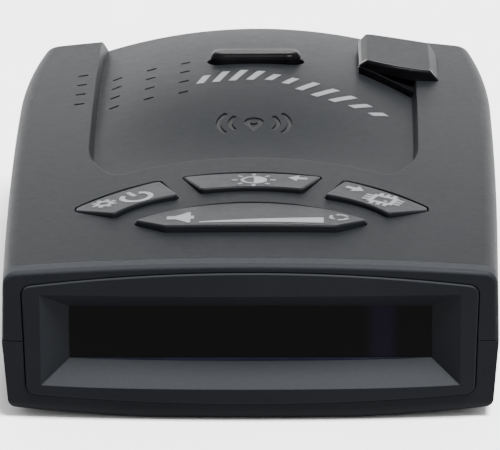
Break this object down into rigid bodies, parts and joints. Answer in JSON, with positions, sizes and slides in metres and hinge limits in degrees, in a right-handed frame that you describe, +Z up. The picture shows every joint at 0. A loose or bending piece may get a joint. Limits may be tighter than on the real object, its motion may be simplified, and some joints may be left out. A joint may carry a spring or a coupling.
{
  "type": "radar detector",
  "caption": "Windscreen radar and laser detector: two-shell housing with a front display, top keys, speaker slots, a hooded laser lens and a bracket release button.",
  "frame": {"origin": "middle of the underside, on the surface that the detector stands on", "axes": "+Z up, +Y towards the windscreen (the radar horn looks that way), the display faces -Y"},
  "size_m": [0.0754, 0.11, 0.0314],
  "materials": {
    "soft_grey": "soft-touch satin",
    "key_grey": "satin",
    "satin_black": "fine grain satin",
    "gloss_black": "gloss",
    "window_glass": "gloss smoked",
    "panel_glass": "gloss",
    "foam": "matte",
    "circuit_board": "solder mask",
    "flex_film": "amber film",
    "chip_plastic": "matte",
    "switch_plastic": "matte",
    "ceramic": "ceramic",
    "steel": "satin",
    "tinplate": "bright",
    "die_cast": "cast",
    "cone_film": "film",
    "label_film": "printed film, blank"
  },
  "bodies": {
    "housing": {"top_cover": "soft_grey", "front_trim": "satin_black", "bottom_case": "satin_black", "display_bezel": "satin_black", "display_window": "window_glass", "window_gasket": "foam", "oled_panel": "panel_glass", "display_board": "circuit_board", "display_flex": "flex_film", "main_board": "circuit_board", "board_chips": "chip_plastic", "key_switches": "switch_plastic", "gps_board": "circuit_board", "gps_patch": "ceramic", "board_screws": "steel", "case_screws": "steel", "speaker_frame": "chip_plastic", "speaker_magnet": "steel", "speaker_cone": "cone_film", "speaker_gasket": "foam", "horn_antenna": "die_cast", "rf_board": "circuit_board", "rf_shield": "tinplate", "forward_laser_window": "gloss_black", "forward_laser_sensor": "chip_plastic", "laser_hood": "soft_grey", "hood_trim": "gloss_black", "rear_laser_lens": "gloss_black", "rear_laser_sensor": "chip_plastic", "bracket_guide": "satin_black", "release_spring": "steel", "power_jack": "chip_plastic", "usb_port": "tinplate", "rating_label": "label_film"},
    "key_power": {"key_power": "key_grey", "switch_plunger_power": "switch_plastic"},
    "key_brightness": {"key_brightness": "key_grey", "switch_plunger_brightness": "switch_plastic"},
    "key_city": {"key_city": "key_grey", "switch_plunger_city": "switch_plastic"},
    "key_volume": {"key_volume": "key_grey", "switch_plunger_volume": "switch_plastic"},
    "release": {"release_button": "gloss_black"}
  },
  "joints": [
    {"name": "key_power_press", "type": "slide", "parent": "housing", "child": "key_power", "axis": [0, 0, -1], "range_m": [0, 0.0004], "stiffness_N_per_m": 400, "springref_m": -0.0008},
    {"name": "key_brightness_press", "type": "slide", "parent": "housing", "child": "key_brightness", "axis": [0, 0, -1], "range_m": [0, 0.0004], "stiffness_N_per_m": 400, "springref_m": -0.0008},
    {"name": "key_city_press", "type": "slide", "parent": "housing", "child": "key_city", "axis": [0, 0, -1], "range_m": [0, 0.0004], "stiffness_N_per_m": 400, "springref_m": -0.0008},
    {"name": "key_volume_press", "type": "slide", "parent": "housing", "child": "key_volume", "axis": [0, 0, -1], "range_m": [0, 0.0004], "stiffness_N_per_m": 400, "springref_m": -0.0008},
    {"name": "release_press", "type": "slide", "parent": "housing", "child": "release", "axis": [0, 0, -1], "range_m": [0, 0.0015], "stiffness_N_per_m": 500, "springref_m": -0.001, "deforming": ["release_spring"]}
  ]
}
